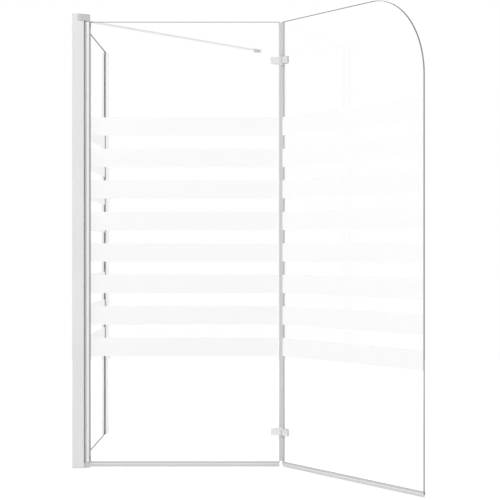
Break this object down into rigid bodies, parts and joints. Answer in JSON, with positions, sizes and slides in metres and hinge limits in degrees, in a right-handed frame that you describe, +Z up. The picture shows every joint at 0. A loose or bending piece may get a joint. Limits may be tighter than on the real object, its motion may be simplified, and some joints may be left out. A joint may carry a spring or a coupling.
{
  "type": "shower enclosure",
  "caption": "Bath-top shower enclosure: square corner post, fixed side panel, support bar and folding glass screen with white bands and a rounded free corner.",
  "frame": {"origin": "centre of the corner post's foot, where it stands on the bath rim", "axes": "+X along the front of the bath, +Y back to the wall, +Z up"},
  "size_m": [0.9553, 1.1896, 1.3],
  "materials": {
    "aluminium_profile": "satin anodised extrusion",
    "cast_bracket": "fine satin paint on a casting",
    "bar_metal": "satin drawn bar",
    "steel": "plain stainless",
    "glass": "clear polished with printed white bands",
    "dark_rubber": "matt black-grey extrusion",
    "seal_vinyl": "translucent grey vinyl",
    "gasket_rubber": "matt grey glazing rubber",
    "moulded_plastic": "fine moulded grain",
    "hinge_metal": "satin plated block"
  },
  "bodies": {
    "frame": {"adjusting_channel": "aluminium_profile", "bar_fork": "bar_metal", "bar_grip_screw": "steel", "bar_swivel_pin": "steel", "bottom_bracket_screws": "steel", "bottom_pivot_bracket": "cast_bracket", "bottom_pivot_pin": "steel", "channel_lock_screws": "steel", "channel_top_cap": "moulded_plastic", "corner_post": "aluminium_profile", "post_seal": "dark_rubber", "post_top_cap": "aluminium_profile", "side_glass": "glass", "side_glass_post_gaskets": "gasket_rubber", "side_glass_wall_gaskets": "gasket_rubber", "support_bar": "bar_metal", "top_bracket_screw": "steel", "top_pivot_bracket": "cast_bracket", "top_pivot_pin": "steel", "wall_channel": "aluminium_profile"},
    "inner_leaf": {"pivot_profile": "aluminium_profile", "top_pivot_bush": "moulded_plastic", "bottom_pivot_bush": "moulded_plastic", "inner_glass": "glass", "inner_glass_gaskets": "gasket_rubber", "inner_drip_seal": "seal_vinyl", "seam_seal": "seal_vinyl", "lower_hinge_pin": "steel", "upper_hinge_pin": "steel", "lower_hinge_inner_clamp": "hinge_metal", "lower_hinge_inner_pads": "gasket_rubber", "lower_hinge_inner_plate": "hinge_metal", "lower_hinge_inner_screw": "steel", "upper_hinge_inner_clamp": "hinge_metal", "upper_hinge_inner_pads": "gasket_rubber", "upper_hinge_inner_plate": "hinge_metal", "upper_hinge_inner_screw": "steel"},
    "outer_leaf": {"lower_hinge_outer_clamp": "hinge_metal", "lower_hinge_outer_pads": "gasket_rubber", "lower_hinge_outer_plate": "hinge_metal", "lower_hinge_outer_screw": "steel", "outer_drip_seal": "seal_vinyl", "outer_glass": "glass", "upper_hinge_outer_clamp": "hinge_metal", "upper_hinge_outer_pads": "gasket_rubber", "upper_hinge_outer_plate": "hinge_metal", "upper_hinge_outer_screw": "steel"},
    "bar_foot": {"bar_wall_foot": "bar_metal"}
  },
  "joints": [
    {"name": "inner_leaf_swing", "type": "hinge", "parent": "frame", "child": "inner_leaf", "pos_m": [0.026, 0, 0], "axis": [0, 0, 1], "range_deg": [-90, 90]},
    {"name": "outer_leaf_fold", "type": "hinge", "parent": "inner_leaf", "child": "outer_leaf", "pos_m": [0.58, -0.0075, 0], "axis": [0, 0, 1], "range_deg": [-113.8, 56.2]},
    {"name": "bar_foot_swivel", "type": "hinge", "parent": "frame", "child": "bar_foot", "pos_m": [0.511, 0.651, 1.284], "axis": [0, 0, 1], "range_deg": [-45, 45]}
  ]
}
